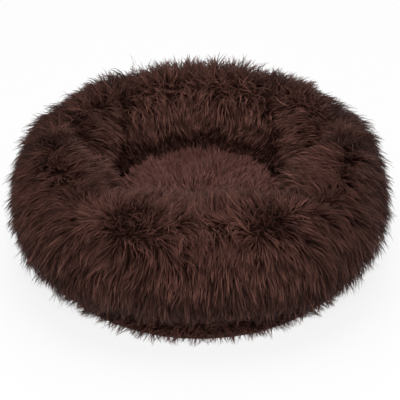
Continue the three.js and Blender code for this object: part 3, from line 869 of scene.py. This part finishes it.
WALL_ROOTS, WALL_INSIDE, WALL_LOW, NOTCH_LOW, NOTCH_HIGH = 238.0, 234.0, 1.6, 7.6, 28.0
WALL_COLUMNS, ROOTS_LOW, ROOTS_HIGH = 16, 3, 33
ZIP_EDGE, PULL_REACH = ZIP_HALF_ARC + 0.4 * DEG, ZIP_HALF_ARC + 5.5 * DEG
PULL_FADE, EDGE_FADE = 1 * DEG, 0.8 * DEG
wall_heights = np.linspace(ROOTS_LOW, ROOTS_HIGH, WALL_COLUMNS)
wall = Skin(around(WALL_ROOTS, row_angles, wall_heights))
turn_from_rear = np.abs(wrapped(row_angles - math.pi))
beside = smooth(PULL_REACH + PULL_FADE, PULL_REACH, turn_from_rear)
upper = smooth(0.45, 0.9, wall_heights / ROOTS_HIGH)
# The base pile's tone is a little darker all over: painted shade under the roll.
wall.set_fields(
    comb=(0, -1 + 1.5 * upper), lift=smooth(0.8, 0.2, wall_heights / ROOTS_HIGH),
    short=(1 - 0.7 * beside) * (1 - 0.2 * upper) * (1 + 0.25 * np.sin(2 * row_angles) ** 2),
    ruffle=2, wild=0.35 + 0.2 * upper, shade=-0.03, pale=0, contrast=0.22,
    density=smooth(ZIP_EDGE, ZIP_EDGE + EDGE_FADE, turn_from_rear))
wall_strands = grow(wall, spacing=3.1, length=39, rise=56, lean=32, follow=0.0, droop=0.1, tuft=9)

# Short fur on the hem over the zip
LINTEL_FACE, BARE_ROWS = 245.4, 3
lintel_turns = math.pi + np.linspace(-1, 1, ROWS) * ZIP_HALF_ARC
lintel_heights = np.linspace(28.6, 33.4, 5)
lintel = Skin(around(LINTEL_FACE, lintel_turns[:, None], lintel_heights))
from_end = np.minimum(np.arange(ROWS), ROWS - 1 - np.arange(ROWS))[:, None]
lintel.set_fields(comb=(0, 1), lift=0, short=1, ruffle=1, wild=0.3, shade=0, pale=0, contrast=0.2,
                  density=from_end > BARE_ROWS)
lintel_strands = grow(lintel, spacing=2.6, length=15, rise=70, lean=40, follow=0.0, droop=0.3, tuft=2)
FLOOR_ROOM, SHADOW_REACH, SHADOW_WAVE, PULL_TOP, PULL_ROOM, FREE = 1.5, 267, 5, 25, 245.6, 99.0


def wall_room(points):
    """Room over the floor, within the roll's shadow, and clear of the zip and its pull."""
    radius, height, away = from_axis(points), points[..., 2], from_rear(points)
    over_zip = np.where(away < ZIP_EDGE, height - NOTCH_HIGH, FREE)
    by_pull = np.where((away < PULL_REACH) & (height < PULL_TOP), PULL_ROOM - radius, FREE)
    reach = SHADOW_REACH + SHADOW_WAVE * edge_waves(points) - radius
    return np.minimum.reduce([height - FLOOR_ROOM, reach, over_zip, by_pull])


wall_strands, lintel_strands = cut_to(wall_room, wall_strands), cut_to(wall_room, lintel_strands)
fur_pieces("base_pile", wall_strands, wall, 4, roll_fur)
fur_pieces("hem_pile", lintel_strands, lintel, 1, roll_fur)


def swept(section, turns):
    """A closed section of radii and heights, carried over the given turns."""
    return np.stack([around(radius, turns, height) for radius, height in section], 1)


def ring_points(inner, outer, low, high, turns, bevel=0.0):
    """A ring with a rectangular section over the given turns, its corners cut by a bevel."""
    if bevel:
        corners = ((inner + bevel, low), (outer - bevel, low), (outer, low + bevel), (outer, high - bevel),
                   (outer - bevel, high), (inner + bevel, high), (inner, high - bevel), (inner, low + bevel))
    else:
        corners = ((inner, low), (outer, low), (outer, high), (inner, high))
    return swept(corners, turns)


def arc(half, steps, middle=math.pi):
    return middle + np.linspace(-half, half, steps)


SILL_FACE, HEM_BEVEL, HOLE = 242.6, 1.2, 0.05
wall_turns, zip_turns = arc(math.pi - ZIP_HALF_ARC, 400, 0), arc(ZIP_HALF_ARC, 160)
for name, ring, *replaced in (
        ("base_wall", ring_points(WALL_INSIDE, WALL_ROOTS, WALL_LOW, WALL_TOP, wall_turns), "base_boxing"),
        ("base_hem", ring_points(WALL_INSIDE, LINTEL_FACE, NOTCH_HIGH, WALL_TOP, zip_turns, HEM_BEVEL)),
        ("base_sill", ring_points(WALL_INSIDE, SILL_FACE, WALL_LOW, NOTCH_LOW, zip_turns, HEM_BEVEL))):
    bed_piece(name, ring, backing, "roll_fur", *replaced, closed_round=False)
bed_piece("base_wadding_fibre", ring_points(HOLE, 233.4, 1.7, 33.4, angles), fibre, "fibre", "base_wadding")
bed_piece("base_divider", ring_points(HOLE, 240, 34.1, 34.9, angles), backing, "inner_cloth", "divider_cloth")
bed_piece("join_seam", ring_points(240.2, 245.8, 33.8, 47, angles, HEM_BEVEL), backing, "roll_fur")


# The bottom: its cloth with grip dots, and the binding with its stitches

def joined(name, points, faces, material):
    """One piece of many equal small forms: points is forms x points x 3, faces those of one form."""
    count, per = points.shape[:2]
    all_faces = (np.arange(count)[:, None, None] * per + np.array(faces)).reshape(-1, len(faces[0]))
    smooth_piece(name, points, all_faces.tolist(), material)


def stitches(name, radius, height, turns, length, thick, proud, rings=7, sides=6):
    """A row of stitches round the bed: beads of thread that lie along it."""
    along = np.linspace(-1, 1, rings)
    size = np.sqrt(np.maximum(1 - along ** 2, SMALL))[:, None]
    side = turns_round(sides)
    out = radius + proud * size * np.cos(side)
    up = height + thick / 2 * size * np.sin(side)
    angle = turns[:, None, None] + (along * length / 2 / radius)[None, :, None]
    points = around(out[None], angle, up[None]).reshape(len(turns), -1, 3)
    joined(name, points, bead_faces(rings, sides), thread)


DOT_STEP, DOT_SIZE, DOT_HEIGHT, DOT_REACH, DOT_SIDES = 11.0, 1.9, 0.35, 234, 10
PANEL_EDGE, PANEL_TOP, PANEL_RINGS = 245.6, 1.15, (60, 120, 180)
panel_section = [(r, DOT_HEIGHT) for r in (HOLE, *PANEL_RINGS, PANEL_EDGE)]
panel_section += [(r, PANEL_TOP) for r in (PANEL_EDGE, PANEL_RINGS[1], HOLE)]
bed_piece("bottom_cloth", swept(panel_section, turns_round(240)), bottom_cloth, "base_cloth", "base_panel")
grid_x, grid_y = np.meshgrid(np.arange(-24, 25), np.arange(-28, 29))
dot_x = (grid_x + 0.5 * (grid_y % 2)).ravel() * DOT_STEP
dot_y = grid_y.ravel() * DOT_STEP * math.sqrt(0.75)
inside = np.hypot(dot_x, dot_y) < DOT_REACH
dot_at = np.stack([dot_x[inside], dot_y[inside]], -1)
dot_rings = ((1.0, DOT_HEIGHT + 0.05), (0.95, 0.18), (0.6, 0.03), (0.02, 0.0))
dot_turns = turns_round(DOT_SIDES)
dot_form = np.concatenate([
    np.stack([DOT_SIZE * r * np.cos(dot_turns), -DOT_SIZE * r * np.sin(dot_turns), z + 0 * dot_turns], -1)
    for r, z in dot_rings])
dot_points = dot_form[None] + np.concatenate([dot_at, 0 * dot_at[:, :1]], 1)[:, None]
joined("grip_dots", dot_points, bead_faces(len(dot_rings), DOT_SIDES), dot_rubber)
bed_piece("bottom_binding", ring_points(243.1, BASE_RADIUS, 1.5, 7.3, turns_round(360), 0.9),
          binding_tape, "base_cloth", "base_binding")
stitches("binding_stitches", BASE_RADIUS, 5.6, turns_round(430),
         length=2.7, thick=0.5, proud=0.25)

# The zip: two woven tapes, a wound coil on each, stops, slider and pull

CHAIN_GAP, COIL_HEIGHT, COIL_THICK, TAPE_THICK = 0.7, 2.9, 2.4, 0.6
CHAIN_HALF, TAPE_CLEAR = CHAIN_GAP + COIL_HEIGHT, 0.3
END_CLEAR = 0.1 * DEG
STOP_ARC = 3.6 / ZIP_RADIUS


def zip_tape(name, low, high, replaced, selvedge=0.8, slope=0.3, thin=0.6, steps=260):
    """A tape with a thicker selvedge along each edge."""
    half = TAPE_THICK / 2
    heights = np.array([low, low + selvedge, low + selvedge + slope,
                        high - selvedge - slope, high - selvedge, high])
    face = np.array([half, half, thin * half, thin * half, half, half])
    section = [(ZIP_RADIUS + f, h) for f, h in zip(face, heights)]
    section += [(ZIP_RADIUS - f, h) for f, h in zip(face[::-1], heights[::-1])]
    points = swept(section, arc(ZIP_HALF_ARC - END_CLEAR, steps))
    bed_piece(name, points[:, ::-1], zip_weave, "zip_tape", replaced, closed_round=False)


def zip_coil(name, middle, replaced, wire=0.36, pitch=1.25, per_turn=12, sides=6, core=(0.5, 0.7, 0.3)):
    """A coil of nylon wire wound round a cord. core is the cord's half width, half height and bevel."""
    flat_across, flat_up = 0.8, 0.9
    half_arc = ZIP_HALF_ARC - END_CLEAR - STOP_ARC
    count = int(2 * half_arc * ZIP_RADIUS / pitch)
    phase = np.arange(count * per_turn + 1) / per_turn * TURN
    turns = math.pi - half_arc + (phase / TURN * pitch + 0.5 * wire) / ZIP_RADIUS
    turns = np.minimum(turns, math.pi + half_arc - wire / ZIP_RADIUS)
    across = (COIL_THICK / 2 - wire) * signed_power(np.cos(phase), flat_across)
    up = (COIL_HEIGHT / 2 - wire) * signed_power(np.sin(phase), flat_up)
    path = around(ZIP_RADIUS + across, turns, middle + up)
    way = unit(np.gradient(path, axis=0))
    side = unit(np.cross(way, around(1.0, turns + math.pi / 2, 0.0)))
    other = np.cross(way, side)
    ring = turns_round(sides)[:, None]
    wound = path[:, None] + wire * (side[:, None] * np.cos(ring) + other[:, None] * np.sin(ring))
    bed_piece(name, wound, coil_nylon, "zip_coil", replaced, closed_round=False)
    half_wide, half_high, bevel = core
    cord = ring_points(ZIP_RADIUS - half_wide, ZIP_RADIUS + half_wide, middle - half_high, middle + half_high,
                       arc(half_arc - END_CLEAR, 200), bevel)
    bed_piece(name + "_cord", cord, thread, "zip_tape", closed_round=False)


zip_tape("upper_tape_weave", ZIP_HEIGHT + CHAIN_HALF + TAPE_CLEAR, NOTCH_HIGH - TAPE_CLEAR, "zip_upper_tape")
zip_tape("lower_tape_weave", NOTCH_LOW + TAPE_CLEAR, ZIP_HEIGHT - CHAIN_HALF - TAPE_CLEAR, "zip_lower_tape")
zip_coil("upper_coil_wound", ZIP_HEIGHT + CHAIN_GAP + COIL_HEIGHT / 2, "zip_upper_coil")
zip_coil("lower_coil_wound", ZIP_HEIGHT - CHAIN_GAP - COIL_HEIGHT / 2, "zip_lower_coil")
stitch_turns = arc(ZIP_HALF_ARC - 10 * END_CLEAR, 130)
for name, height in (("upper_tape_stitches", 26.2), ("lower_tape_stitches", 9.4)):
    stitches(name, ZIP_RADIUS + TAPE_THICK / 2, height, stitch_turns,
             length=2.5, thick=0.4, proud=0.18)


def finished_metal(name, node, body, weld=0.01 * MM, rounding=0.2 * MM):
    """A zip part with its edges rounded, in place of its plain solid."""
    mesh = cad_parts[node].data.copy()
    mesh.name = name
    piece = new_object(name, mesh)
    piece.modifiers.new("weld", "WELD").merge_threshold = weld
    rounder = piece.modifiers.new("round", "BEVEL")
    rounder.width = rounding
    rounder.segments = 2
    rounder.limit_method = "ANGLE"
    rounder.angle_limit = 40 * DEG
    rounder.use_clamp_overlap = True
    depsgraph = bpy.context.evaluated_depsgraph_get()
    shaped = bpy.data.meshes.new_from_object(piece.evaluated_get(depsgraph))
    piece.modifiers.clear()
    piece.data = shaped
    shaped.materials.clear()
    shaped.materials.append(zip_metal)
    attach(piece, body)
    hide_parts(node)


for name, node, body in (("open_stop", "zip_open_stop", "bed"), ("closed_stop", "zip_closed_stop", "bed"),
                         ("slider_body", "zip_slider", "slider"), ("pull_tab", "zip_pull", "pull")):
    finished_metal(name, node, body)

# Camera, floor and light

IMAGE_WIDTH, PIXELS_PER_MM, IMAGE_SHIFT = 400, 0.633, (0.5, -1)
CAMERA_DISTANCE, CAMERA_ELEVATION, SENSOR_WIDTH = 2.0, 34 * DEG, 36
CAMERA_AIM, LIGHT_AIM = Vector((0, 0, 0.08)), Vector((0, 0, 0.1))
WHITE, FLOOR_REACH, FLOOR_GLOW = (1, 1, 1, 1), 20, 0.8


def turn_to(thing, way):
    """Turns a camera or lamp to look along a direction."""
    thing.rotation_mode = "QUATERNION"
    thing.rotation_quaternion = way.to_track_quat("-Z", "Y")


def place_camera():
    data = bpy.data.cameras.new("camera")
    camera = new_object("camera", data)
    back = Vector((0, -math.cos(CAMERA_ELEVATION), math.sin(CAMERA_ELEVATION)))
    camera.location = CAMERA_AIM + back * CAMERA_DISTANCE
    turn_to(camera, -back)
    data.sensor_width = SENSOR_WIDTH
    data.lens = SENSOR_WIDTH * PIXELS_PER_MM * CAMERA_DISTANCE / MM / IMAGE_WIDTH
    data.shift_x, data.shift_y = (pixels / IMAGE_WIDTH for pixels in IMAGE_SHIFT)
    bpy.context.scene.camera = camera


def place_light(name, at, size, power):
    data = bpy.data.lights.new(name, "AREA")
    data.shape = "DISK"
    data.size = size
    data.energy = power
    lamp = new_object(name, data)
    lamp.location = at
    turn_to(lamp, LIGHT_AIM - Vector(at))


def seen_directly(tree):
    """1 for rays from the camera, and for what gloss and glass show of it."""
    rays = add_node(tree, "LightPath", {}).outputs
    seen = rays["Is Camera Ray"]
    for kind in ("Is Glossy Ray", "Is Transmission Ray"):
        seen = add_node(tree, "Math", {0: seen, 1: rays[kind]}, operation="MAXIMUM").outputs[0]
    return seen


def pale_ground():
    mesh = bpy.data.meshes.new("floor")
    corners = [(x * FLOOR_REACH, y * FLOOR_REACH, 0) for x, y in ((-1, -1), (1, -1), (1, 1), (-1, 1))]
    mesh.from_pydata(corners, [], [(0, 1, 2, 3)])
    floor = new_object("floor", mesh)
    mat, tree, shader = new_material("floor_white")
    set_inputs(tree, shader, {"Base Color": (0.85, 0.85, 0.85, 1), "Roughness": 0.9})
    glow = add_node(tree, "Emission", {"Color": WHITE})
    share = add_node(tree, "Math", {0: seen_directly(tree), 1: FLOOR_GLOW}, operation="MULTIPLY")
    mix = add_node(tree, "MixShader", {"Fac": share.outputs[0], 1: shader.outputs[0], 2: glow.outputs[0]})
    out = next(n for n in tree.nodes if n.type == "OUTPUT_MATERIAL")
    set_inputs(tree, out, {"Surface": mix.outputs[0]})
    mesh.materials.append(mat)


def white_world():
    world = bpy.data.worlds.new("studio")
    bpy.context.scene.world = world
    world.use_nodes = True
    tree = world.node_tree
    background = next(n for n in tree.nodes if n.type == "BACKGROUND")
    strength = add_node(tree, "MapRange", {
        "Value": seen_directly(tree), "To Min": 0.4, "To Max": 1.0})
    set_inputs(tree, background, {"Strength": strength.outputs["Result"], "Color": WHITE})


place_camera()
place_light("key", at=(0, -2.2, 2.0), size=1.3, power=50)
place_light("top", at=(0, 0.2, 2.5), size=1.6, power=22)
place_light("back", at=(0, 2.1, 1.9), size=1.4, power=13)
pale_ground()
white_world()
bpy.context.scene.view_settings.view_transform = "Standard"
